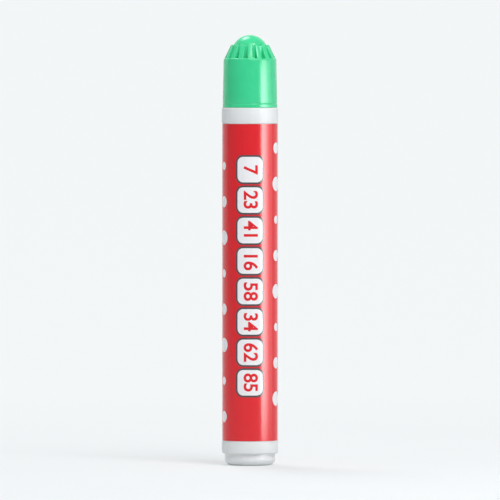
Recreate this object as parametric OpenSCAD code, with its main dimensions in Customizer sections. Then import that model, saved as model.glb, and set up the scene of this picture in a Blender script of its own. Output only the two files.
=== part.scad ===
// Bingo dauber: a slim ink pen with a fibre reservoir, a domed felt nib and a ribbed snap-on cap.
// It stands on its end plug, cap up. The pen's axis is +Z, and the origin is the centre of its base.

/* [Barrel] */
// Outside diameter of the barrel
barrel_d = 16.4; // [15.4:0.1:18]
// Wall of the barrel's tube
barrel_wall = 1.2; // [0.9:0.05:1.5]
// Bare length of barrel between the end plug and the label
bare_end_h = 3.5; // [2:0.1:8]
// Bare band of barrel between the label and the cap
band_h = 4.5; // [3:0.1:8]
// Rounding of the barrel's two outer ends
barrel_round = 0.3; // [0.1:0.05:0.5]
// Thickness of the wall that closes the barrel's front
front_wall_t = 1.6; // [1:0.1:2.5]
// Width of the step from the barrel in to the neck
shoulder_w = 1.7; // [1.3:0.05:2]
// Height of the neck that carries the cap
neck_h = 6.4; // [5:0.1:9]
// Wall of the neck
neck_wall = 1.4; // [1:0.05:1.6]
// Height of the snap bead above the shoulder
bead_z = 3; // [2:0.1:4]
// How far the snap bead stands out of the neck
bead_h = 0.18; // [0.1:0.02:0.3]
// Number of ribs that hold the reservoir off the bore
bore_rib_count = 6; // [3:1:10]
// Height of each bore rib
bore_rib_h = 0.45; // [0.3:0.05:0.7]
// Width of each bore rib
bore_rib_w = 0.9; // [0.6:0.1:1.4]

/* [Label] */
// Length of the label along the barrel
label_h = 92.4; // [70:0.1:110]
// Thickness of the label's film
label_t = 0.1; // [0.08:0.01:0.12]
// Depth of the panel that the label lies in
label_recess = 0.24; // [0.18:0.01:0.35]

/* [End plug] */
// Width of the step where the plug's head meets the barrel's end
plug_seat_w = 0.35; // [0.2:0.05:0.7]
// Height of the plug's head below the barrel
plug_head_h = 3.5; // [2.5:0.1:6]
// Rounding of the head's lower edge
plug_round = 1.9; // [0.6:0.1:2.4]
// Length of the shank that is pressed into the barrel
plug_shank_h = 8; // [5:0.5:12]
// Wall of the plug's shank
plug_wall = 1.1; // [0.8:0.1:1.4]
// Thickness of the plug's floor
plug_floor_t = 1.3; // [1:0.1:2]
// Diameter of the hollow under the base
base_hollow_d = 7; // [5:0.5:9]
// Depth of the hollow under the base
base_hollow_h = 0.4; // [0.2:0.1:0.6]
// Diameter of the gate nub in that hollow
gate_d = 1.6; // [1:0.1:2.5]

/* [Nib] */
// Height of the nib's dome
nib_dome_h = 3.2; // [2:0.1:3.8]
// Straight part of the nib that shows under its dome
nib_collar_h = 0.8; // [0.3:0.1:2]
// Width of the step from the nib in to its tail
tail_step = 1.7; // [1:0.1:2.2]
// Depth that the tail reaches into the reservoir
tail_depth = 9; // [5:0.5:15]

/* [Nib holder] */
// Wall of the bush that grips the nib
holder_wall = 0.76; // [0.5:0.02:1.2]
// Height of the flange that sits on the neck
flange_h = 1; // [0.6:0.1:1.6]
// Step from the neck in to the flange
flange_inset = 0.6; // [0.4:0.05:0.8]
// Height of the cone above the flange
nose_h = 1.6; // [1:0.1:2.5]
// Amount that the cone narrows in radius
nose_taper = 0.6; // [0.3:0.05:0.7]
// Thickness of the lip that the nib stands on
lip_t = 0.8; // [0.5:0.1:1.2]
// Number of air grooves along the nib
vent_count = 4; // [2:1:8]
// Width of each air groove
vent_w = 0.8; // [0.5:0.1:1.2]

/* [Reservoir] */
// Thickness of the film round the fibre core
wrap_t = 0.1; // [0.08:0.01:0.15]

/* [Cap] */
// Wall of the cap at its rim
cap_wall = 1.23; // [1:0.01:1.6]
// Amount that the cap narrows in radius up to its ledge
cap_draft = 0.29; // [0.1:0.01:0.5]
// Thickness of the ledge at the top of the skirt
ledge_t = 1.2; // [0.9:0.1:1.8]
// Width of the ledge outside the dome
ledge_w = 2.37; // [1.6:0.01:2.8]
// Rounding of the ledge's outer edge
ledge_round = 0.5; // [0.3:0.05:0.8]
// Straight rise of the dome's wall above the ledge
dome_lift = 1.45; // [0.6:0.05:2]
// Wall of the dome
dome_wall = 1.1; // [0.8:0.05:1.4]
// Number of grip ribs round the dome
rib_count = 16; // [8:1:20]
// Thickness of each grip rib
rib_t = 1.5; // [1:0.1:1.6]
// Height of the grip ribs above the ledge
rib_h = 3.9; // [2:0.1:4.6]
// Width of the step from a rib's top in to the dome
rib_step = 1.3; // [0.4:0.05:1.6]
// How far the ribs' tops stand out of the collar between them, upward and outward
flute_top_depth = 0.3; // [0.1:0.05:0.8]
// Height of the fine groove above the rim
groove_z = 1.2; // [0.8:0.1:2]
// Width and depth of the fine groove
groove_w = 0.3; // [0.2:0.05:0.5]

/* [Cap liner] */
// Thickness of the liner's shelf and cup
liner_t = 0.8; // [0.5:0.05:1]
// Thickness of the liner's sealing skirt
liner_wall = 0.5; // [0.4:0.05:0.6]
// Height of the nib's tip above the liner's shelf
tip_in_cup = 0.65; // [0.2:0.05:0.8]
// Room above the nib's tip
tip_room = 1; // [0.5:0.1:1.5]

/* [Hidden] */
$fn = 96;

// Clearances, all in radius or height
press_gap = 0.02;   // pressed or bonded pieces
running_gap = 0.05; // the cap over the bead, the film in the bore ribs
seal_gap = 0.08;    // the liner round the holder's flange
end_gap = 0.2;      // loose ends: label in its panel, reservoir at the front wall, liner over the neck
overrun = 1;        // how far a cut runs past the face that it opens

// Levels along the axis, from the base up
barrel_z = plug_head_h;
reservoir_z = barrel_z + plug_shank_h;
label_z = barrel_z + bare_end_h;
band_z = label_z + label_h;
shoulder_z = band_z + band_h;
front_z = shoulder_z - front_wall_t;
reservoir_h = front_z - end_gap - reservoir_z;
neck_top_z = shoulder_z + neck_h;
nib_seat_z = front_z + lip_t;
nose_top_z = neck_top_z + flange_h + nose_h;
nib_dome_z = nose_top_z + nib_collar_h;
nib_tip_z = nib_dome_z + nib_dome_h;
shelf_z = nib_tip_z - tip_in_cup;
ledge_z = shelf_z + liner_t + ledge_t;

// Radii, from the barrel in to the core
barrel_r = barrel_d / 2;
panel_r = barrel_r - label_recess;
bore_r = barrel_r - barrel_wall;
wrap_r = bore_r - bore_rib_h - running_gap;
core_r = wrap_r - wrap_t - press_gap;
plug_head_r = bore_r + plug_seat_w;
plug_shank_r = bore_r - press_gap;
plug_hollow_r = plug_shank_r - plug_wall;
neck_r = barrel_r - shoulder_w;
neck_bore_r = neck_r - neck_wall;
bead_r = neck_r + bead_h;
bead_round_share = 3;
bead_round = bead_h * bead_round_share;

// Radii of the nib and its holder
holder_r = neck_bore_r - press_gap;
holder_bore_r = holder_r - holder_wall;
nib_r = holder_bore_r - press_gap;
tail_r = nib_r - tail_step;
nib_dome_r = (nib_r * nib_r + nib_dome_h * nib_dome_h) / (2 * nib_dome_h);
vent_depth_share = 0.45;
vent_depth = holder_wall * vent_depth_share;
flange_r = neck_r - flange_inset;
nose_r = flange_r - nose_taper;

// Radii of the cap and its liner, from the holder and the neck out
liner_bore_r = flange_r + seal_gap;
liner_r = liner_bore_r + liner_wall;
liner_seat_r = liner_r + press_gap;
cap_bore_r = bead_r + running_gap;
skirt_r = cap_bore_r + cap_wall;
skirt_top_r = skirt_r - cap_draft;
dome_r = skirt_top_r - ledge_w;
dome_hollow_r = dome_r - dome_wall;
cup_r = dome_hollow_r - press_gap;
dome_z = ledge_z + dome_lift;
rib_above_dome_z = rib_h - dome_lift;
rib_top_r = sqrt(dome_r * dome_r - rib_above_dome_z * rib_above_dome_z) + rib_step;
collar_r = rib_top_r - flute_top_depth;

// Half outline of a disc whose outer corners are rounded below, above or not at all
module disc_outline(radius, height, low_round = 0, high_round = 0) {
    translate([0, low_round]) square([radius, height - low_round - high_round]);
    if (low_round > 0) {
        square([radius - low_round, low_round]);
        corner_disc(radius - low_round, low_round, low_round);
    }
    if (high_round > 0) {
        translate([0, height - high_round]) square([radius - high_round, high_round]);
        corner_disc(radius - high_round, height - high_round, high_round);
    }
}

// The round that fills one corner of a half outline
module corner_disc(x, y, radius) {
    translate([x, y]) circle(radius);
}

// A tube from one level to another
module tube(outer_r, inner_r, low_z, high_z) {
    translate([0, 0, low_z]) rotate_extrude()
        translate([inner_r, 0]) square([outer_r - inner_r, high_z - low_z]);
}

// A round bar, or a round hole, from one level to another
module bar(radius, low_z, high_z) {
    translate([0, 0, low_z]) cylinder(r = radius, h = high_z - low_z);
}

// A rounded post: straight up to lift, then a half ball
module dome_outline(radius, lift) {
    intersection() {
        union() {
            translate([0, lift]) circle(radius);
            square([radius, lift]);
        }
        square([radius, lift + radius]);
    }
}

// White moulded tube with its neck, snap bead, label panel and bore ribs
module barrel() {
    color("white") difference() {
        union() {
            translate([0, 0, barrel_z]) rotate_extrude()
                disc_outline(barrel_r, shoulder_z - barrel_z, barrel_round, barrel_round);
            translate([0, 0, front_z]) rotate_extrude()
                disc_outline(neck_r, neck_top_z - front_z, 0, barrel_round);
            translate([0, 0, shoulder_z + bead_z]) rotate_extrude()
                translate([bead_r - bead_round, 0]) circle(bead_round);
        }
        tube(barrel_r + overrun, panel_r, label_z, band_z);
        ribbed_bore();
        bar(neck_bore_r, front_z - overrun, neck_top_z + overrun);
    }
}

// Space inside the tube: round below, with a groove missing at each rib above the plug
module ribbed_bore() {
    difference() {
        bar(bore_r, barrel_z - overrun, front_z);
        for (i = [0 : bore_rib_count - 1]) rotate([0, 0, 360 * i / bore_rib_count])
            translate([bore_r - bore_rib_h, -bore_rib_w / 2, reservoir_z])
                cube([bore_rib_h + overrun, bore_rib_w, front_z + overrun - reservoir_z]);
    }
}

// Printed film, wrapped round the barrel in its panel
module label() {
    color("crimson")
        tube(panel_r + press_gap + label_t, panel_r + press_gap, label_z + end_gap, band_z - end_gap);
}

// White plug that closes the barrel; the reservoir stands on its rim and cross
module end_plug() {
    color("white") {
        difference() {
            union() {
                rotate_extrude() disc_outline(plug_head_r, plug_head_h, plug_round);
                bar(plug_shank_r, plug_head_h, reservoir_z);
            }
            bar(plug_hollow_r, plug_floor_t + base_hollow_h, reservoir_z + overrun);
            bar(base_hollow_d / 2, -overrun, base_hollow_h);
        }
        for (turn = [0, 90]) rotate([0, 0, turn]) plug_web();
        bar(gate_d / 2, base_hollow_h / 2, base_hollow_h + plug_floor_t / 2);
    }
}

// One arm of the cross inside the plug
module plug_web() {
    web_l = 2 * plug_hollow_r + plug_wall;
    translate([-web_l / 2, -plug_wall / 2, base_hollow_h + plug_floor_t / 2])
        cube([web_l, plug_wall, reservoir_z - base_hollow_h - plug_floor_t / 2]);
}

// White bush that grips the nib, with a flange on the neck and air grooves along its bore
module nib_holder() {
    color("whitesmoke") difference() {
        union() {
            bar(holder_r, front_z, neck_top_z);
            bar(flange_r, neck_top_z, neck_top_z + flange_h);
            translate([0, 0, neck_top_z + flange_h]) cylinder(r1 = flange_r, r2 = nose_r, h = nose_h);
        }
        bar(holder_bore_r, nib_seat_z, nose_top_z + overrun);
        bar(tail_r + press_gap, front_z - overrun, nib_seat_z + overrun);
        for (i = [0 : vent_count - 1]) rotate([0, 0, 360 * i / vent_count]) vent_cut();
    }
}

// One air groove, from the nib's seat out through the nose
module vent_cut() {
    translate([0, -vent_w / 2, nib_seat_z])
        cube([holder_bore_r + vent_depth, vent_w, nose_top_z + overrun - nib_seat_z]);
}

// Felt nib: a domed plug with a thin tail that draws ink from the reservoir
module nib() {
    tail_z = front_z - end_gap - tail_depth;
    color("seagreen") rotate_extrude() {
        translate([0, tail_z]) square([tail_r, nib_seat_z - tail_z]);
        translate([0, nib_seat_z]) square([nib_r, nib_dome_z - nib_seat_z]);
        intersection() {
            translate([0, nib_tip_z - nib_dome_r]) circle(nib_dome_r);
            translate([0, nib_dome_z]) square([nib_r, nib_dome_h]);
        }
    }
}

// Ink-soaked fibre core, with the socket that the nib's tail fills
module ink_reservoir() {
    color("mediumseagreen") difference() {
        bar(core_r, reservoir_z, reservoir_z + reservoir_h);
        bar(tail_r + press_gap, front_z - 2 * end_gap - tail_depth, front_z);
    }
}

// Clear film sealed round the fibre core
module reservoir_wrap() {
    color("gainsboro") tube(wrap_r, wrap_r - wrap_t, reservoir_z, reservoir_z + reservoir_h);
}

// Green cap: tapered skirt, ledge, dome, and grip ribs on a collar
module cap() {
    color("mediumseagreen") difference() {
        union() {
            cap_skirt();
            translate([0, 0, ledge_z]) rotate_extrude() dome_outline(dome_r, dome_lift);
            bar(collar_r, ledge_z - ledge_round, ledge_z + rib_h - flute_top_depth);
            for (i = [0 : rib_count - 1]) rotate([0, 0, 360 * i / rib_count]) cap_rib();
        }
        cap_hollow();
        translate([0, 0, shoulder_z + groove_z]) rotate_extrude()
            translate([skirt_r, 0]) rotate(45) square(groove_w, center = true);
    }
}

// Tapered wall of the cap, up to the rounded edge of the ledge
module cap_skirt() {
    translate([0, 0, shoulder_z])
        cylinder(r1 = skirt_r, r2 = skirt_top_r, h = ledge_z - ledge_round - shoulder_z);
    translate([0, 0, ledge_z - ledge_round]) rotate_extrude() {
        square([skirt_top_r - ledge_round, ledge_round]);
        intersection() {
            corner_disc(skirt_top_r - ledge_round, 0, ledge_round);
            square([skirt_top_r, ledge_round]);
        }
    }
}

// One grip rib: a gusset from the ledge's edge up to the dome
module cap_rib() {
    translate([0, 0, ledge_z]) rotate([90, 0, 0]) linear_extrude(rib_t, center = true)
        polygon([[0, -ledge_round], [skirt_top_r, -ledge_round], [rib_top_r, rib_h], [0, rib_h]]);
}

// Inside of the cap: the bore over the neck, the liner's seat and the dome's hollow
module cap_hollow() {
    bar(cap_bore_r, shoulder_z - overrun, neck_top_z + end_gap);
    bar(liner_seat_r, neck_top_z, ledge_z - ledge_t);
    translate([0, 0, ledge_z - ledge_t]) rotate_extrude() dome_outline(dome_hollow_r, ledge_t + dome_lift);
}

// Soft inner cup that seals round the nib holder and keeps the nib wet
module cap_liner() {
    cup_top_z = nib_tip_z + tip_room + liner_t;
    color("ghostwhite") difference() {
        union() {
            bar(liner_r, neck_top_z + end_gap, shelf_z + liner_t);
            bar(cup_r, shelf_z, cup_top_z);
        }
        bar(liner_bore_r, neck_top_z, shelf_z);
        bar(cup_r - liner_t, shelf_z - overrun, cup_top_z - liner_t);
    }
}

barrel();
label();
end_plug();
nib_holder();
nib();
ink_reservoir();
reservoir_wrap();
cap();
cap_liner();
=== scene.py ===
"""A bingo dauber on its end plug: a slim felt-tipped ink pen with a printed label and a ribbed cap."""

from math import acos, asin, cos, degrees, pi, radians, sin, sqrt

import bmesh
import bpy
from mathutils import Matrix, Vector


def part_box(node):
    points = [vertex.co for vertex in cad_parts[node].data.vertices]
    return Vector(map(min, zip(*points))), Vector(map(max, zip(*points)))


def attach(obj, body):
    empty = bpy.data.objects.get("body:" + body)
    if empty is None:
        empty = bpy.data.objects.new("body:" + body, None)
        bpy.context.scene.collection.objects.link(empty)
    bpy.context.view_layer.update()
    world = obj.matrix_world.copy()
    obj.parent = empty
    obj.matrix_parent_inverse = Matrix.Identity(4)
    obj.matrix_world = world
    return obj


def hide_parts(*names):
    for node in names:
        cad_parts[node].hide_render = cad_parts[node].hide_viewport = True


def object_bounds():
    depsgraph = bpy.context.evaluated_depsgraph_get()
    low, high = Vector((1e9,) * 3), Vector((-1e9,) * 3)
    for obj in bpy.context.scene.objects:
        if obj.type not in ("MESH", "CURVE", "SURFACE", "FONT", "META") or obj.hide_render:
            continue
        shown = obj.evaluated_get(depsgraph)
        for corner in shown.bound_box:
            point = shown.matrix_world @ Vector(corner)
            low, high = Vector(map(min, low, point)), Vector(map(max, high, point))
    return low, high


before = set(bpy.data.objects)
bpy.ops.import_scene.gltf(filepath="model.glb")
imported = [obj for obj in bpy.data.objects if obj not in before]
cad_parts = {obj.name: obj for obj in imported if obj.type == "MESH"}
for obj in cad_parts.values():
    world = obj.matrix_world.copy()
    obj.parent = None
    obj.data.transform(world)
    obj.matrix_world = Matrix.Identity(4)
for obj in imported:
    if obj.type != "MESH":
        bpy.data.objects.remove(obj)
cad_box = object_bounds()
bpy.ops.object.select_all(action="DESELECT")


# View: level with the pen and a little above it, through a long lens, at the photograph's angle.
# The pen stands alone, so the camera is near enough for it to fill most of the picture's height.
MM = 0.001
pen_height = cad_box[1].z - cad_box[0].z
pen_middle = Vector((0, 0, pen_height / 2))
view_distance = 2500 * MM
view_elevation = radians(1.5)
pen_share_of_picture = 0.86


def aside(turn, rise, distance):
    """A place that far from a point, turned to the right of the front and raised, both in radians."""
    return distance * Vector((sin(turn) * cos(rise), -cos(turn) * cos(rise), sin(rise)))


bpy.ops.object.camera_add(
    location=pen_middle + aside(0, view_elevation, view_distance),
    rotation=(pi / 2 - view_elevation, 0, 0),
)
camera = bpy.context.object
camera.data.lens = camera.data.sensor_width * view_distance * pen_share_of_picture / pen_height
bpy.context.scene.camera = camera
bpy.context.scene.view_settings.view_transform = "Standard"


# Studio: a sheet of pale matt paper that curves up behind the pen, a softbox in front on the right, one
# overhead behind on the left, the even light of a white room, and a strip lamp for the pen's stripe.
def linear(hex_colour):
    """Turns an sRGB hex value such as #46ca90 into the linear colour that a shader takes."""
    shares = [int(hex_colour[i : i + 2], 16) / 255 for i in (1, 3, 5)]
    return [s / 12.92 if s <= 0.04045 else ((s + 0.055) / 1.055) ** 2.4 for s in shares] + [1.0]


def add(tree, kind, inputs=None, **settings):
    """Adds a shader node with its settings, each named input filled with a value or a node's output."""
    made = tree.nodes.new(kind)
    for name, value in settings.items():
        setattr(made, name, value)
    for name, value in (inputs or {}).items():
        if isinstance(value, bpy.types.NodeSocket):
            tree.links.new(value, made.inputs[name])
        else:
            made.inputs[name].default_value = value
    return made


def blank_material(name):
    """Starts a material with no nodes but its output."""
    material = bpy.data.materials.new(name)
    material.use_nodes = True
    material.node_tree.nodes.clear()
    return material, material.node_tree


def pick(kind, test):
    """Selects, in edit mode, only the corners (VERT), edges or faces whose middle passes the test."""
    bpy.ops.mesh.select_mode(type=kind)
    bpy.ops.mesh.select_all(action="DESELECT")
    shape = bmesh.from_edit_mesh(bpy.context.object.data)
    for part in {"VERT": shape.verts, "EDGE": shape.edges, "FACE": shape.faces}[kind]:
        corners = [part] if kind == "VERT" else part.verts
        if test(sum((c.co for c in corners), Vector()) / len(corners)):
            part.select_set(True)
    bmesh.update_edit_mesh(bpy.context.object.data)


paper_width = 5200 * MM
paper_front = 3200 * MM
paper_back = 1100 * MM
paper_rise = 1000 * MM
paper_curve = 450 * MM
bpy.ops.mesh.primitive_plane_add(size=1)
paper = bpy.context.object
paper.name = "studio_paper"
paper.scale = (paper_width, paper_front + paper_back, 1)
paper.location = (0, (paper_back - paper_front) / 2, 0)
bpy.ops.object.transform_apply(location=True, rotation=True, scale=True)
bpy.ops.object.mode_set(mode="EDIT")
pick("EDGE", lambda p: p.y > paper_back - MM)
bpy.ops.mesh.extrude_region_move(TRANSFORM_OT_translate={"value": (0, 0, paper_rise)})
pick("EDGE", lambda p: p.y > paper_back - MM and p.z < MM)
bpy.ops.mesh.bevel(offset=paper_curve, segments=24, affect="EDGES")
bpy.ops.object.mode_set(mode="OBJECT")
bpy.ops.object.shade_smooth()

# Matt background paper: no gloss, with the faint cloudiness of its pulp. The camera and the pen's own
# reflections see it partly lit from behind, more so towards the wall, which keeps it pale and leaves the
# pen's shadow on the floor. It is clear from its back, so that the pen can be seen from behind it.
backlight_start = -500 * MM
backlight_full = 600 * MM
wall_backlight = 0.9
paper_matt, tree = blank_material("background_paper")
place = add(tree, "ShaderNodeTexCoord").outputs["Object"]
pulp = add(tree, "ShaderNodeTexNoise", {"Vector": place, "Scale": 1 / (120 * MM), "Detail": 3.0})
pulp_colour = add(tree, "ShaderNodeMix", {"Factor": pulp.outputs["Fac"]}, data_type="RGBA")
pulp_colour.inputs["A"].default_value = linear("#d8dbdc")
pulp_colour.inputs["B"].default_value = linear("#dde0e1")
front_lit = add(
    tree,
    "ShaderNodeBsdfPrincipled",
    {"Base Color": pulp_colour.outputs["Result"], "Roughness": 0.95, "Specular IOR Level": 0.1},
)
back_lit = add(tree, "ShaderNodeEmission", {"Color": linear("#f7fafb"), "Strength": 1.0})
towards_wall = add(tree, "ShaderNodeSeparateXYZ", {"Vector": place}).outputs["Y"]
backlight = add(
    tree,
    "ShaderNodeMapRange",
    {
        "Value": towards_wall,
        "From Min": backlight_start,
        "From Max": backlight_full,
        "To Max": wall_backlight,
    },
    interpolation_type="SMOOTHSTEP",
)
ray = add(tree, "ShaderNodeLightPath")
seen = ray.outputs["Is Camera Ray"]
for also_seen in ("Is Glossy Ray", "Is Transmission Ray"):
    either = add(tree, "ShaderNodeMath", {0: seen, 1: ray.outputs[also_seen]}, operation="MAXIMUM")
    seen = either.outputs["Value"]
share = add(tree, "ShaderNodeMath", {0: seen, 1: backlight.outputs["Result"]}, operation="MULTIPLY")
paper_face = add(
    tree,
    "ShaderNodeMixShader",
    {0: share.outputs["Value"], 1: front_lit.outputs["BSDF"], 2: back_lit.outputs["Emission"]},
)
paper_back_side = add(tree, "ShaderNodeBsdfTransparent")
sheet = add(
    tree,
    "ShaderNodeMixShader",
    {
        0: add(tree, "ShaderNodeNewGeometry").outputs["Backfacing"],
        1: paper_face.outputs["Shader"],
        2: paper_back_side.outputs["BSDF"],
    },
)
add(tree, "ShaderNodeOutputMaterial", {"Surface": sheet.outputs["Shader"]})
paper.data.materials.append(paper_matt)


def softbox(name, place, aim, width, tall, watts):
    """Hangs a rectangular lamp at a place, turned to a point. The camera doesn't see the lamp itself."""
    bpy.ops.object.light_add(type="AREA", location=place)
    lamp = bpy.context.object
    lamp.name = name
    lamp.rotation_euler = (aim - place).to_track_quat("-Z", "Y").to_euler()
    lamp.visible_camera = False
    lamp.data.shape = "RECTANGLE"
    lamp.data.size, lamp.data.size_y = width, tall
    lamp.data.energy = watts
    return lamp


front_place = pen_middle + aside(radians(28), radians(48), 1000 * MM)
softbox("front_softbox", front_place, pen_middle, width=500 * MM, tall=500 * MM, watts=6.5)
top_place = pen_middle + aside(radians(-153), radians(60), 900 * MM)
softbox("top_softbox", top_place, pen_middle, width=320 * MM, tall=320 * MM, watts=2.8)

# The strip lamp stands close by and shows only as a reflection in the gloss. Its cloth is thinnest at the
# edge nearest the camera, so the stripe starts sharply on its left and fades to the right.
strip_tall = 148 * MM
strip_middle = Vector((0, 0, strip_tall / 2 + MM))
strip_place = strip_middle + aside(radians(75), 0, 200 * MM)
strip = softbox("strip_lamp", strip_place, strip_middle, width=210 * MM, tall=strip_tall, watts=1.3)
strip.visible_diffuse = False
strip.data.use_nodes = True
tree = strip.data.node_tree
tree.nodes.clear()
fade_start = 0.1
fade_end = 0.75
faded_share = 0.12
across_cloth = add(tree, "ShaderNodeNewGeometry").outputs["Parametric"]
fade = add(
    tree,
    "ShaderNodeMapRange",
    {
        "Value": add(tree, "ShaderNodeSeparateXYZ", {"Vector": across_cloth}).outputs["X"],
        "From Min": fade_start,
        "From Max": fade_end,
        "To Min": 1.0,
        "To Max": faded_share,
    },
    interpolation_type="SMOOTHSTEP",
)
cloth = add(tree, "ShaderNodeEmission", {"Strength": fade.outputs["Result"]})
add(tree, "ShaderNodeOutputLight", {"Surface": cloth.outputs["Emission"]})

# The room: a white ceiling over darker walls, so that the pen's sides stay clear of glare.
room = bpy.data.worlds.new("room_light")
room.use_nodes = True
tree = room.node_tree
tree.nodes.clear()
direction = add(tree, "ShaderNodeTexCoord").outputs["Generated"]
upward = add(tree, "ShaderNodeSeparateXYZ", {"Vector": direction}).outputs["Z"]
brightness = add(
    tree,
    "ShaderNodeMapRange",
    {"Value": upward, "From Min": 0.0, "From Max": 0.7, "To Min": 0.36, "To Max": 0.6},
    interpolation_type="SMOOTHSTEP",
)
room_light = add(
    tree,
    "ShaderNodeBackground",
    {"Color": linear("#fbfdff"), "Strength": brightness.outputs["Result"]},
)
add(tree, "ShaderNodeOutputWorld", {"Surface": room_light.outputs["Background"]})
bpy.context.scene.world = room


# Barrel: one white polypropylene moulding, a tube with a shallow panel for the label and a neck with the
# bead that the cap snaps over. Its outline is spun, and six ribs inside hold the ink core off the wall.
def finish_with(piece, kind, **settings):
    """Adds a modifier with its settings to a piece and applies it."""
    bpy.context.view_layer.objects.active = piece
    modifier = piece.modifiers.new(kind.lower(), kind)
    for name, value in settings.items():
        setattr(modifier, name, value)
    bpy.ops.object.modifier_apply(modifier=modifier.name)


def join(pieces):
    """Joins pieces into the first of them, with their places in its mesh."""
    bpy.ops.object.select_all(action="DESELECT")
    for piece in pieces:
        piece.select_set(True)
    bpy.context.view_layer.objects.active = pieces[0]
    bpy.ops.object.transform_apply(location=True, rotation=True, scale=True)
    bpy.ops.object.join()
    return pieces[0]


def ring_of(piece, count):
    """Copies a piece evenly round the pen's axis, and joins it with its copies."""
    copies = [piece]
    for i in range(1, count):
        copy = piece.copy()
        copy.data = piece.data.copy()
        copy.data.transform(Matrix.Rotation(2 * pi * i / count, 4, "Z"))
        bpy.context.scene.collection.objects.link(copy)
        copies.append(copy)
    return join(copies)


def combine(piece, other, operation):
    """Makes another piece one with this one (UNION), or cuts it out of this one (DIFFERENCE)."""
    finish_with(piece, "BOOLEAN", operation=operation, object=other, solver="EXACT")
    bpy.data.objects.remove(other)
    bpy.ops.object.select_all(action="DESELECT")
    piece.select_set(True)
    bpy.ops.object.shade_smooth_by_angle(angle=radians(30))


def turn(name, corners, steps):
    """Draws a closed half outline, rounds its corners and spins it about the pen's axis.

    Each corner is (radius, height, rounding) in metres.
    """
    count = len(corners)
    outline = bpy.data.meshes.new(name)
    points = [(radius, 0, height) for radius, height, rounding in corners]
    outline.from_pydata(points, [(i, (i + 1) % count) for i in range(count)], [])
    piece = bpy.data.objects.new(name, outline)
    bpy.context.scene.collection.objects.link(piece)
    bpy.ops.object.select_all(action="DESELECT")
    piece.select_set(True)
    bpy.context.view_layer.objects.active = piece
    bpy.ops.object.mode_set(mode="EDIT")
    for point, (radius, height, rounding) in zip(points, corners):
        if rounding:
            pick("VERT", lambda p, corner=Vector(point): (p - corner).length < 0.001 * MM)
            bpy.ops.mesh.bevel(affect="VERTICES", offset=rounding, segments=5)
    bpy.ops.mesh.select_all(action="SELECT")
    bpy.ops.mesh.spin(steps=steps, angle=2 * pi, center=(0, 0, 0), axis=(0, 0, 1))
    bpy.ops.mesh.select_all(action="SELECT")
    bpy.ops.mesh.remove_doubles(threshold=0.001 * MM)
    bpy.ops.mesh.normals_make_consistent(inside=False)
    bpy.ops.object.mode_set(mode="OBJECT")
    bpy.ops.object.shade_smooth_by_angle(angle=radians(30))
    return piece


def arc(radius, middle_height, start, end, steps, middle_radius=0.0):
    """Points of an arc, as corners of an outline. It starts and ends at angles above level, in degrees."""
    turns = [radians(start + (end - start) * i / steps) for i in range(steps + 1)]
    return [(max(middle_radius + radius * cos(a), 0.0), middle_height + radius * sin(a), 0) for a in turns]


barrel_low, barrel_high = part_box("barrel")
barrel_radius = -barrel_low.x
barrel_wall = 1.2 * MM
barrel_bore = barrel_radius - barrel_wall
barrel_round = 0.3 * MM
mouth_round = 0.1 * MM
film_low, film_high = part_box("label")
panel_end_gap = 0.2 * MM
panel_low = film_low.z - panel_end_gap
panel_high = film_high.z + panel_end_gap
panel_deep = 0.24 * MM
panel_radius = barrel_radius - panel_deep
panel_edge_round = 0.06 * MM
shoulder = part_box("cap")[0].z
shoulder_wide = 1.7 * MM
front_wall_thick = 1.6 * MM
front_wall = shoulder - front_wall_thick
neck_radius = barrel_radius - shoulder_wide
neck_wall = 1.4 * MM
neck_bore = neck_radius - neck_wall
neck_root_round = 0.15 * MM
bead_up = shoulder + 3 * MM
bead_proud = 0.18 * MM
bead_round = 3 * bead_proud
bead_middle = neck_radius + bead_proud - bead_round
bead_end = degrees(acos((neck_radius - bead_middle) / bead_round))
barrel = turn(
    "barrel_tube",
    [
        (barrel_bore, barrel_low.z, mouth_round),
        (barrel_radius, barrel_low.z, barrel_round),
        (barrel_radius, panel_low, panel_edge_round),
        (panel_radius, panel_low, 0),
        (panel_radius, panel_high, 0),
        (barrel_radius, panel_high, panel_edge_round),
        (barrel_radius, shoulder, barrel_round),
        (neck_radius, shoulder, neck_root_round),
        *arc(bead_round, bead_up, -bead_end, bead_end, 10, bead_middle),
        (neck_radius, barrel_high.z, barrel_round),
        (neck_bore, barrel_high.z, mouth_round),
        (neck_bore, front_wall, 0),
        (barrel_bore, front_wall, 0),
    ],
    steps=192,
)

# One rib is a bar half sunk in the bore's wall and in the front wall, with its inner edges rounded.
bore_rib_count = 6
bore_rib_deep = 0.45 * MM
bore_rib_wide = 0.9 * MM
bore_rib_round = 0.15 * MM
bore_rib_root = 0.5 * MM
bore_rib_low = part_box("ink_reservoir")[0].z
bore_rib_high = front_wall + bore_rib_root
bpy.ops.mesh.primitive_cube_add(
    size=1,
    location=(barrel_bore, 0, (bore_rib_low + bore_rib_high) / 2),
    scale=(2 * bore_rib_deep, bore_rib_wide, bore_rib_high - bore_rib_low),
)
bore_rib = bpy.context.object
bpy.ops.object.transform_apply(location=True, rotation=True, scale=True)
bpy.ops.object.mode_set(mode="EDIT")
pick("EDGE", lambda p: p.x < barrel_bore - bore_rib_deep / 2 and p.z < bore_rib_high - MM)
bpy.ops.mesh.bevel(offset=bore_rib_round, segments=3, affect="EDGES")
bpy.ops.object.mode_set(mode="OBJECT")
combine(barrel, ring_of(bore_rib, bore_rib_count), "UNION")

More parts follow.
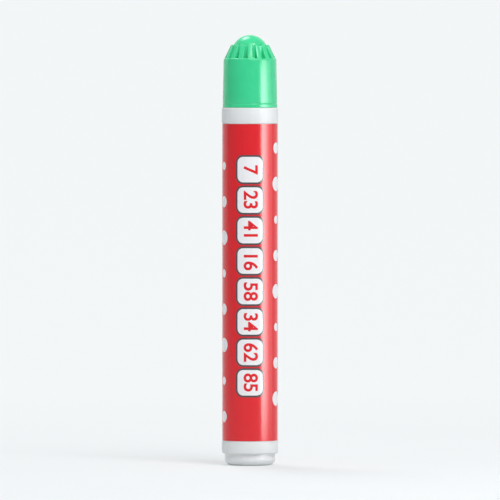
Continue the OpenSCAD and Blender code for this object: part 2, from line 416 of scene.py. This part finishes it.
# Polypropylene, injection moulded: waxy white with a soft gloss, a little see-through at thin edges, with
# a long shallow ripple along the flow and a fine parting line down both sides where the mould closes.
white_plastic, tree = blank_material("moulded_white_polypropylene")
place = add(tree, "ShaderNodeTexCoord").outputs["Object"]
flow = add(tree, "ShaderNodeMapping", {"Vector": place, "Scale": (1, 1, 0.25)})
ripple = add(
    tree,
    "ShaderNodeTexNoise",
    {"Vector": flow.outputs["Vector"], "Scale": 1 / (3.5 * MM), "Detail": 2.0},
)
tint = add(tree, "ShaderNodeMix", {"Factor": ripple.outputs["Fac"]}, data_type="RGBA")
tint.inputs["A"].default_value = linear("#dcdfe0")
tint.inputs["B"].default_value = linear("#e4e6e6")
gloss = add(
    tree,
    "ShaderNodeMapRange",
    {"Value": ripple.outputs["Fac"], "To Min": 0.44, "To Max": 0.54},
)
parting_line_half = 0.12 * MM
sides = add(tree, "ShaderNodeSeparateXYZ", {"Vector": place})
off_line = add(tree, "ShaderNodeMath", {0: sides.outputs["Y"]}, operation="ABSOLUTE")
parting_line = add(
    tree,
    "ShaderNodeMapRange",
    {
        "Value": off_line.outputs["Value"],
        "From Min": 0.0,
        "From Max": parting_line_half,
        "To Min": 1.0,
        "To Max": 0.0,
    },
    interpolation_type="SMOOTHSTEP",
)
relief = add(
    tree,
    "ShaderNodeMath",
    {0: ripple.outputs["Fac"], 1: parting_line.outputs["Result"]},
    operation="ADD",
)
bump = add(
    tree,
    "ShaderNodeBump",
    {"Height": relief.outputs["Value"], "Strength": 0.12, "Distance": 0.05 * MM},
)
surface = add(
    tree,
    "ShaderNodeBsdfPrincipled",
    {
        "Base Color": tint.outputs["Result"],
        "Roughness": gloss.outputs["Result"],
        "IOR": 1.49,
        "Specular IOR Level": 0.27,
        "Subsurface Weight": 0.12,
        "Subsurface Radius": (1.0, 1.0, 1.0),
        "Subsurface Scale": 0.8 * MM,
        "Normal": bump.outputs["Normal"],
    },
)
add(tree, "ShaderNodeOutputMaterial", {"Surface": surface.outputs["BSDF"]})
barrel.data.materials.append(white_plastic)
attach(barrel, "pen")
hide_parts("barrel")


# End plug: a white polyethylene cup pressed into the barrel's lower end, on which the pen stands. Its
# outline has the rounded head, the hollow base and the stub of the moulding gate, and a cross stiffens it.
plug_low, plug_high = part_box("end_plug")
plug_head = plug_high.x
plug_round = 1.9 * MM
press_gap = 0.02 * MM
plug_shank = barrel_bore - press_gap
plug_wall = 1.1 * MM
plug_hollow = plug_shank - plug_wall
base_hollow = 3.5 * MM
base_hollow_deep = 0.4 * MM
base_hollow_high = plug_low.z + base_hollow_deep
plug_floor_thick = 1.3 * MM
plug_floor = base_hollow_high + plug_floor_thick
gate = 0.8 * MM
gate_low = plug_low.z + base_hollow_deep / 2
plug = turn(
    "end_plug_cup",
    [
        (0, gate_low, 0),
        (gate, gate_low, 0.08 * MM),
        (gate, base_hollow_high, 0),
        (base_hollow, base_hollow_high, 0.1 * MM),
        (base_hollow, plug_low.z, 0.12 * MM),
        *arc(plug_round, plug_low.z + plug_round, -90, 0, 14, plug_head - plug_round),
        (plug_head, barrel_low.z, 0.08 * MM),
        (plug_shank, barrel_low.z, 0),
        (plug_shank, plug_high.z, 0.2 * MM),
        (plug_hollow, plug_high.z, 0.1 * MM),
        (plug_hollow, plug_floor, 0),
        (0, plug_floor, 0),
    ],
    steps=156,
)
web_root = 0.5 * MM
web_low = plug_floor - web_root
web_high = plug_high.z - press_gap
for web_turn in (0, pi / 2):
    bpy.ops.mesh.primitive_cube_add(
        size=1,
        location=(0, 0, (web_low + web_high) / 2),
        rotation=(0, 0, web_turn),
        scale=(2 * plug_hollow + plug_wall, plug_wall, web_high - web_low),
    )
    web = bpy.context.object
    bpy.ops.object.transform_apply(location=True, rotation=True, scale=True)
    combine(plug, web, "UNION")

# Polyethylene straight from a turned mould: softer and waxier than the barrel, with the faint rings
# of the cutting tool, 0.35 mm apart, round the pen's axis.
waxy_plastic, tree = blank_material("moulded_white_polyethylene")
place = add(tree, "ShaderNodeTexCoord").outputs["Object"]
ring_spacing = 0.35 * MM
rings = add(
    tree,
    "ShaderNodeTexWave",
    {
        "Vector": place,
        "Scale": 2 * pi / (20 * ring_spacing),
        "Distortion": 0.4,
        "Detail": 1.0,
        "Detail Scale": 1.0,
    },
    wave_type="RINGS",
    rings_direction="Z",
)
cloud = add(tree, "ShaderNodeTexNoise", {"Vector": place, "Scale": 1 / (2.5 * MM), "Detail": 2.0})
tint = add(tree, "ShaderNodeMix", {"Factor": cloud.outputs["Fac"]}, data_type="RGBA")
tint.inputs["A"].default_value = linear("#e2e5e5")
tint.inputs["B"].default_value = linear("#e9eaea")
gloss = add(tree, "ShaderNodeMapRange", {"Value": cloud.outputs["Fac"], "To Min": 0.28, "To Max": 0.4})
bump = add(tree, "ShaderNodeBump", {"Height": rings.outputs["Fac"], "Strength": 0.08, "Distance": 0.03 * MM})
surface = add(
    tree,
    "ShaderNodeBsdfPrincipled",
    {
        "Base Color": tint.outputs["Result"],
        "Roughness": gloss.outputs["Result"],
        "IOR": 1.51,
        "Subsurface Weight": 0.15,
        "Subsurface Radius": (1.0, 1.0, 1.0),
        "Subsurface Scale": 1.0 * MM,
        "Normal": bump.outputs["Normal"],
    },
)
add(tree, "ShaderNodeOutputMaterial", {"Surface": surface.outputs["BSDF"]})
plug.data.materials.append(waxy_plastic)
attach(plug, "pen")
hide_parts("end_plug")


# Label: a strip of glossy film, printed flat, wrapped round the panel in the barrel and lapped over
# itself at the back. White number tiles run down the front, with plain round dabs of ink beside them.
# Printed polypropylene film with a gloss varnish: even colour with a trace of print grain, and shallow
# lengthwise ripples where the film was pulled round the barrel. One finish in three ink colours.
inks = {}
for ink, dark, pale in (
    ("red", "#d8131f", "#df1925"),
    ("white", "#e8e7ea", "#efeff1"),
    ("grey", "#4a4045", "#544a4f"),
):
    inks[ink], tree = blank_material("varnished_film_" + ink)
    place = add(tree, "ShaderNodeTexCoord").outputs["Object"]
    grain = add(tree, "ShaderNodeTexNoise", {"Vector": place, "Scale": 1 / (0.25 * MM), "Detail": 2.0})
    print_colour = add(tree, "ShaderNodeMix", {"Factor": grain.outputs["Fac"]}, data_type="RGBA")
    print_colour.inputs["A"].default_value = linear(dark)
    print_colour.inputs["B"].default_value = linear(pale)
    pulled = add(tree, "ShaderNodeMapping", {"Vector": place, "Scale": (1, 1, 0.06)})
    tension = add(
        tree,
        "ShaderNodeTexNoise",
        {"Vector": pulled.outputs["Vector"], "Scale": 1 / (2.2 * MM), "Detail": 1.0},
    )
    bump = add(
        tree,
        "ShaderNodeBump",
        {"Height": tension.outputs["Fac"], "Strength": 0.12, "Distance": 0.08 * MM},
    )
    surface = add(
        tree,
        "ShaderNodeBsdfPrincipled",
        {
            "Base Color": print_colour.outputs["Result"],
            "Roughness": 0.2,
            "IOR": 1.52,
            "Normal": bump.outputs["Normal"],
        },
    )
    add(tree, "ShaderNodeOutputMaterial", {"Surface": surface.outputs["BSDF"]})

film_thick = 0.1 * MM
film_glue = 0.01 * MM
film_inner = film_high.x - film_thick
film_tall = film_high.z - film_low.z
film_lap = 3 * MM
film_margin = 0.5 * MM
film_wide = 2 * pi * film_inner + film_lap
film_columns = round(film_wide / (0.5 * MM))
bpy.ops.mesh.primitive_grid_add(x_subdivisions=film_columns, y_subdivisions=1, size=1)
label = bpy.context.object
label.name = "printed_label"
label.data.materials.append(inks["red"])
label.data.materials.append(inks["white"])
label.scale = (film_wide, film_tall, 1)
label.rotation_euler = (pi / 2, 0, 0)
label.location = (0, 0, (film_low.z + film_high.z) / 2)
bpy.ops.object.transform_apply(location=True, rotation=True, scale=True)
finish_with(label, "SOLIDIFY", thickness=film_thick, offset=1, material_offset=1, material_offset_rim=1)
bpy.ops.object.mode_set(mode="EDIT")
pick("VERT", lambda p: p.x > film_wide / 2 - film_lap)
bpy.ops.transform.translate(value=(0, -film_thick - film_glue, 0))
pick("FACE", lambda p: p.x > film_wide / 2 - film_margin)
label.active_material_index = 1
bpy.ops.object.material_slot_assign()
bpy.ops.object.mode_set(mode="OBJECT")


# The print: each shape is a plate of ink, drawn thicker than real ink so that the layers stay apart.
ink_layer = 0.008 * MM
film_face = -film_thick
print_shapes = []


def inked(shape, ink, layer):
    """Gives a flat shape its ink and lays it on the film, with its top that many layers up."""
    shape.data.materials.append(inks[ink])
    shape.location.y = film_face - (layer - 0.5) * ink_layer
    print_shapes.append(shape)


tile_numbers = ("7", "23", "41", "16", "58", "34", "62", "85")
tile_size = 7.4 * MM
tile_corner = 1.7 * MM
tile_outline = 0.55 * MM
digit_size = 5.6 * MM
digit_bolder = 0.12 * MM
tile_first = film_high.z - 13.2 * MM
tile_last = film_low.z + 17.0 * MM
tile_pitch = (tile_first - tile_last) / (len(tile_numbers) - 1)
for place_in_strip, number in enumerate(tile_numbers):
    tile_middle = (0, 0, tile_first - place_in_strip * tile_pitch)
    for ink, layer, margin in (("grey", 1, tile_outline), ("white", 2, 0)):
        side = tile_size + 2 * margin
        bpy.ops.mesh.primitive_cube_add(size=1, location=tile_middle, scale=(side, ink_layer, side))
        tile = bpy.context.object
        bpy.ops.object.transform_apply(location=False, rotation=False, scale=True)
        bpy.ops.object.mode_set(mode="EDIT")
        pick("EDGE", lambda p: abs(p.y) < ink_layer / 4 and abs(p.x * p.z) > 0)
        bpy.ops.mesh.bevel(offset=tile_corner + margin, segments=6, affect="EDGES")
        bpy.ops.object.mode_set(mode="OBJECT")
        inked(tile, ink, layer)
    bpy.ops.object.text_add(location=tile_middle, rotation=(pi / 2, pi / 2, 0))
    digits = bpy.context.object
    digits.data.body = number
    digits.data.size = digit_size
    digits.data.offset = digit_bolder
    digits.data.extrude = ink_layer / 2
    digits.data.align_x, digits.data.align_y = "CENTER", "CENTER"
    bpy.ops.object.convert(target="MESH")
    inked(bpy.context.object, "red", 3)

dab_columns = tuple(u * MM for u in (-20.5, -15.0, -9.6, 9.6, 15.0, 20.5))
dab_sizes = tuple(d * MM for d in (4.2, 2.4, 3.3))
dab_rows = 8
dab_first = film_low.z + 7 * MM
dab_pitch = 10.4 * MM
for column, around in enumerate(dab_columns):
    for row in range(dab_rows):
        dab_up = dab_first + row * dab_pitch + (column % 2) * dab_pitch / 2
        dab_size = dab_sizes[(2 * row + column) % len(dab_sizes)]
        bpy.ops.mesh.primitive_cylinder_add(
            vertices=40,
            radius=dab_size / 2,
            depth=ink_layer,
            location=(around, 0, dab_up),
            rotation=(pi / 2, 0, 0),
        )
        inked(bpy.context.object, "white", 1)

# The ink is cut at the film's own columns, so that both bend alike, and the sheet is rolled up.
printing = join(print_shapes)
bpy.ops.object.mode_set(mode="EDIT")
for column in range(1, film_columns):
    bpy.ops.mesh.select_all(action="SELECT")
    cut = film_wide * (column / film_columns - 0.5)
    bpy.ops.mesh.bisect(plane_co=(cut, 0, 0), plane_no=(1, 0, 0))
bpy.ops.mesh.select_all(action="SELECT")
bpy.ops.mesh.remove_doubles(threshold=0.0001 * MM)
bpy.ops.mesh.normals_make_consistent(inside=False)
bpy.ops.object.mode_set(mode="OBJECT")
label = join([label, printing])
finish_with(label, "SIMPLE_DEFORM", deform_method="BEND", deform_axis="Z", angle=film_wide / film_inner)
label.location.y = -film_inner
bpy.ops.object.transform_apply(location=True, rotation=True, scale=True)
bpy.ops.object.shade_smooth_by_angle(angle=radians(35))
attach(label, "pen")
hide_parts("label")


# Ink core: a bundle of polyester fibres soaked with green ink, in a sleeve of clear film. Both stay
# as their solids, because the barrel hides them.
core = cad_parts["ink_reservoir"]

# Polyester tow wet with ink: streaks along the bundle, about 0.3 mm wide.
wet_tow, tree = blank_material("inked_polyester_tow")
place = add(tree, "ShaderNodeTexCoord").outputs["Object"]
strands = add(tree, "ShaderNodeMapping", {"Vector": place, "Scale": (1, 1, 0.03)})
streaks = add(
    tree,
    "ShaderNodeTexNoise",
    {"Vector": strands.outputs["Vector"], "Scale": 1 / (0.3 * MM), "Detail": 3.0},
)
soaked = add(tree, "ShaderNodeMix", {"Factor": streaks.outputs["Fac"]}, data_type="RGBA")
soaked.inputs["A"].default_value = linear("#0d7a45")
soaked.inputs["B"].default_value = linear("#3fb57c")
bump = add(tree, "ShaderNodeBump", {"Height": streaks.outputs["Fac"], "Strength": 0.6, "Distance": 0.1 * MM})
surface = add(
    tree,
    "ShaderNodeBsdfPrincipled",
    {"Base Color": soaked.outputs["Result"], "Roughness": 0.55, "Normal": bump.outputs["Normal"]},
)
add(tree, "ShaderNodeOutputMaterial", {"Surface": surface.outputs["BSDF"]})
core.data.materials[0] = wet_tow

# Clear polypropylene wrap: nearly colourless, with fine lengthwise draw lines.
clear_wrap, tree = blank_material("clear_polypropylene_wrap")
place = add(tree, "ShaderNodeTexCoord").outputs["Object"]
drawn = add(tree, "ShaderNodeMapping", {"Vector": place, "Scale": (1, 1, 0.02)})
lines = add(
    tree,
    "ShaderNodeTexNoise",
    {"Vector": drawn.outputs["Vector"], "Scale": 1 / (0.6 * MM), "Detail": 2.0},
)
haze = add(tree, "ShaderNodeMapRange", {"Value": lines.outputs["Fac"], "To Min": 0.08, "To Max": 0.25})
surface = add(
    tree,
    "ShaderNodeBsdfPrincipled",
    {
        "Base Color": linear("#eef6f1"),
        "Roughness": haze.outputs["Result"],
        "IOR": 1.49,
        "Transmission Weight": 0.85,
    },
)
add(tree, "ShaderNodeOutputMaterial", {"Surface": surface.outputs["BSDF"]})
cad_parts["reservoir_wrap"].data.materials[0] = clear_wrap


# Nib holder: a white polyethylene bush pressed into the neck, with a flange on the neck's mouth and a
# sloped nose that the cap's liner closes on. Four air grooves run up its bore beside the nib.
holder_low, holder_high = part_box("nib_holder")
flange_radius = holder_high.x
nose_taper = 0.6 * MM
nose_radius = flange_radius - nose_taper
nose_tall = 1.6 * MM
flange_tall = 1.0 * MM
flange_high = holder_high.z - nose_tall
flange_wide = 0.82 * MM
bush_radius = flange_radius - flange_wide
bush_wall = 0.76 * MM
bush_bore = bush_radius - bush_wall
tail_step = 1.7 * MM
tail_hole = bush_bore - tail_step
lip_thick = 0.8 * MM
nib_seat = holder_low.z + lip_thick
holder = turn(
    "nib_holder_bush",
    [
        (tail_hole, holder_low.z, 0),
        (bush_radius, holder_low.z, 0.2 * MM),
        (bush_radius, flange_high - flange_tall, 0),
        (flange_radius, flange_high - flange_tall, 0.12 * MM),
        (flange_radius, flange_high, 0.3 * MM),
        (nose_radius, holder_high.z, 0.3 * MM),
        (bush_bore, holder_high.z, 0.15 * MM),
        (bush_bore, nib_seat, 0),
        (tail_hole, nib_seat, 0),
    ],
    steps=128,
)
air_groove_count = 4
air_groove_wide = 0.8 * MM
air_groove_deep = 0.45 * bush_wall
air_groove_top = holder_high.z + MM
bpy.ops.mesh.primitive_cube_add(
    size=1,
    location=(bush_bore, 0, (nib_seat + air_groove_top) / 2),
    scale=(2 * air_groove_deep, air_groove_wide, air_groove_top - nib_seat),
)
air_groove = bpy.context.object
bpy.ops.object.transform_apply(location=True, rotation=True, scale=True)
combine(holder, ring_of(air_groove, air_groove_count), "DIFFERENCE")
holder.data.materials.append(waxy_plastic)
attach(holder, "pen")
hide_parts("nib_holder")


# Nib: a domed plug of bonded polyester felt, ground to shape and wet with ink. Its tail reaches down
# into the ink core. It is turned from its outline, and its surface is roughened as ground felt is.
nib_low, nib_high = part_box("nib")
nib_radius = nib_high.x
nib_tail_radius = nib_radius - tail_step
nib_dome = 3.2 * MM
nib_dome_low = nib_high.z - nib_dome
nib_dome_radius = (nib_radius**2 + nib_dome**2) / (2 * nib_dome)
nib_dome_middle = nib_high.z - nib_dome_radius
nib_dome_start = 22
nib = turn(
    "felt_nib",
    [
        (0, nib_low.z, 0),
        (nib_tail_radius, nib_low.z, 0.3 * MM),
        (nib_tail_radius, nib_seat, 0),
        (nib_radius, nib_seat, 0.3 * MM),
        (nib_radius, nib_dome_low, 0.4 * MM),
        *arc(nib_dome_radius, nib_dome_middle, nib_dome_start, 90, 24),
    ],
    steps=160,
)
finish_with(nib, "SUBSURF", levels=1, render_levels=1)
pile = bpy.data.textures.new("felt_pile", "CLOUDS")
pile.noise_scale = 0.35 * MM
pile.noise_depth = 3
finish_with(nib, "DISPLACE", texture=pile, texture_coords="GLOBAL", strength=0.12 * MM, mid_level=1.0)
bpy.ops.object.shade_smooth()

# Bonded felt, wet: deep green where the ink stands, paler on the fibres' cut ends, which are drawn about
# 0.16 mm apart so that they show, with soft patches where the ink has dried a little.
wet_felt, tree = blank_material("inked_bonded_felt")
place = add(tree, "ShaderNodeTexCoord").outputs["Object"]
fibres = add(tree, "ShaderNodeTexNoise", {"Vector": place, "Scale": 1 / (0.16 * MM), "Detail": 3.0})
patches = add(tree, "ShaderNodeTexNoise", {"Vector": place, "Scale": 1 / (2.4 * MM), "Detail": 1.0})
wetness = add(
    tree,
    "ShaderNodeMath",
    {0: patches.outputs["Fac"], 1: 0.35, 2: fibres.outputs["Fac"]},
    operation="MULTIPLY_ADD",
)
ink_colour = add(
    tree,
    "ShaderNodeMapRange",
    {"Value": wetness.outputs["Value"], "From Min": 0.45, "From Max": 0.9},
)
felt_colour = add(tree, "ShaderNodeMix", {"Factor": ink_colour.outputs["Result"]}, data_type="RGBA")
felt_colour.inputs["A"].default_value = linear("#0a5a33")
felt_colour.inputs["B"].default_value = linear("#2a9c64")
bump = add(tree, "ShaderNodeBump", {"Height": fibres.outputs["Fac"], "Strength": 0.7, "Distance": 0.08 * MM})
surface = add(
    tree,
    "ShaderNodeBsdfPrincipled",
    {
        "Base Color": felt_colour.outputs["Result"],
        "Roughness": 0.6,
        "Sheen Weight": 0.2,
        "Sheen Roughness": 0.5,
        "Normal": bump.outputs["Normal"],
    },
)
add(tree, "ShaderNodeOutputMaterial", {"Surface": surface.outputs["BSDF"]})
nib.data.materials.append(wet_felt)
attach(nib, "pen")
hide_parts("nib")


# Cap liner: a thimble of soft natural polyethylene pressed up inside the cap, which closes round the
# nib holder and keeps the nib wet. Its solid stays.
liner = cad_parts["cap_liner"]

# Unpigmented polyethylene: milky and dull, and light goes some way into it.
milky_plastic, tree = blank_material("natural_polyethylene")
place = add(tree, "ShaderNodeTexCoord").outputs["Object"]
cloud = add(tree, "ShaderNodeTexNoise", {"Vector": place, "Scale": 1 / (2 * MM), "Detail": 2.0})
tint = add(tree, "ShaderNodeMix", {"Factor": cloud.outputs["Fac"]}, data_type="RGBA")
tint.inputs["A"].default_value = linear("#d9ddd6")
tint.inputs["B"].default_value = linear("#e6e9e2")
surface = add(
    tree,
    "ShaderNodeBsdfPrincipled",
    {
        "Base Color": tint.outputs["Result"],
        "Roughness": 0.45,
        "IOR": 1.51,
        "Subsurface Weight": 0.4,
        "Subsurface Radius": (1.0, 1.0, 1.0),
        "Subsurface Scale": 1.5 * MM,
    },
)
add(tree, "ShaderNodeOutputMaterial", {"Surface": surface.outputs["BSDF"]})
liner.data.materials[0] = milky_plastic


# Cap: a glossy green polypropylene moulding, pushed over the neck until it snaps on the bead. A tapered
# skirt ends in a ledge, and sixteen gusset ribs stand on the ledge round a smooth dome.
cap_low, cap_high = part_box("cap")
rim = cap_low.z
skirt_tall = 14.35 * MM
ledge = rim + skirt_tall
skirt_radius = cap_high.x
skirt_draft = 0.29 * MM
skirt_top_radius = skirt_radius - skirt_draft
cap_wall = 1.23 * MM
cap_bore = skirt_radius - cap_wall
liner_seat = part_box("cap_liner")[1].x + press_gap
liner_seat_low = rim + 6.6 * MM
ledge_thick = 1.2 * MM
ledge_round = 0.5 * MM
ledge_wide = 2.37 * MM
dome_radius = skirt_top_radius - ledge_wide
dome_middle = cap_high.z - dome_radius
dome_wall = 1.1 * MM
groove_up = rim + 1.2 * MM
groove_half = 0.2 * MM
groove_deep = 0.17 * MM
groove_round = 0.06 * MM
groove_low_draft = 0.02 * MM
groove_high_draft = 0.03 * MM
rib_tall = 3.9 * MM
rib_step = 1.3 * MM
rib_proud = 0.3 * MM
rib_high = ledge + rib_tall
rib_head = sqrt(dome_radius**2 - (rib_high - dome_middle) ** 2) + rib_step
collar = rib_head - rib_proud
collar_high = rib_high - rib_proud
dome_start = degrees(asin((collar_high - dome_middle) / dome_radius))
cap = turn(
    "cap_shell",
    [
        (cap_bore, rim, 0.2 * MM),
        (skirt_radius, rim, 0.25 * MM),
        (skirt_radius - groove_low_draft, groove_up - groove_half, groove_round),
        (skirt_radius - groove_deep, groove_up, groove_round),
        (skirt_radius - groove_high_draft, groove_up + groove_half, groove_round),
        (skirt_top_radius, ledge, ledge_round),
        (collar, ledge, 0.25 * MM),
        (collar, collar_high, 0.15 * MM),
        *arc(dome_radius, dome_middle, dome_start, 90, 24),
        *arc(dome_radius - dome_wall, dome_middle, 90, 0, 24),
        (dome_radius - dome_wall, ledge - ledge_thick, 0),
        (liner_seat, ledge - ledge_thick, 0),
        (liner_seat, liner_seat_low, 0),
        (cap_bore, liner_seat_low, 0),
    ],
    steps=192,
)

# One rib is a block rooted in the collar and the dome, with its outer face drawn in towards the top and
# its outer edges rounded. The sixteen copies are then made one with the shell.
rib_count = 16
rib_thick = 1.5 * MM
rib_low = ledge - ledge_round
rib_foot_inset = 0.05 * MM
rib_foot = skirt_top_radius - rib_foot_inset
rib_root_low = dome_radius - 0.6 * MM
rib_root_high = rib_head - rib_step - 0.5 * MM
bpy.ops.mesh.primitive_cube_add(
    size=1,
    location=((rib_root_low + rib_foot) / 2, 0, (rib_low + rib_high) / 2),
    scale=(rib_foot - rib_root_low, rib_thick, rib_high - rib_low),
)
rib = bpy.context.object
bpy.ops.object.transform_apply(location=True, rotation=True, scale=True)
rib_middle = (rib_root_low + rib_foot) / 2
bpy.ops.object.mode_set(mode="EDIT")
pick("VERT", lambda p: p.z > ledge and p.x > rib_middle)
bpy.ops.transform.translate(value=(rib_head - rib_foot, 0, 0))
pick("VERT", lambda p: p.z > ledge and p.x < rib_middle)
bpy.ops.transform.translate(value=(rib_root_high - rib_root_low, 0, 0))
pick("EDGE", lambda p: p.x > rib_root_low + 0.2 * MM and p.z > rib_low + 0.1 * MM)
bpy.ops.mesh.bevel(offset=0.22 * MM, segments=3, affect="EDGES")
bpy.ops.object.mode_set(mode="OBJECT")
combine(cap, ring_of(rib, rib_count), "UNION")

# Polypropylene dyed green, from a polished mould: even colour with faint flow clouds, a clear gloss
# with a trace of ripple, and light that sinks a little way in and softens the edges.
green_plastic, tree = blank_material("moulded_green_polypropylene")
place = add(tree, "ShaderNodeTexCoord").outputs["Object"]
cloud = add(tree, "ShaderNodeTexNoise", {"Vector": place, "Scale": 1 / (3 * MM), "Detail": 3.0})
tint = add(tree, "ShaderNodeMix", {"Factor": cloud.outputs["Fac"]}, data_type="RGBA")
tint.inputs["A"].default_value = linear("#33ca8b")
tint.inputs["B"].default_value = linear("#3dd496")
gloss = add(tree, "ShaderNodeMapRange", {"Value": cloud.outputs["Fac"], "To Min": 0.17, "To Max": 0.27})
bump = add(tree, "ShaderNodeBump", {"Height": cloud.outputs["Fac"], "Strength": 0.1, "Distance": 0.05 * MM})
surface = add(
    tree,
    "ShaderNodeBsdfPrincipled",
    {
        "Base Color": tint.outputs["Result"],
        "Roughness": gloss.outputs["Result"],
        "IOR": 1.49,
        "Subsurface Weight": 0.12,
        "Subsurface Radius": (0.4, 1.0, 0.7),
        "Subsurface Scale": 0.8 * MM,
        "Normal": bump.outputs["Normal"],
    },
)
add(tree, "ShaderNodeOutputMaterial", {"Surface": surface.outputs["BSDF"]})
cap.data.materials.append(green_plastic)
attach(cap, "cap")
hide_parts("cap")
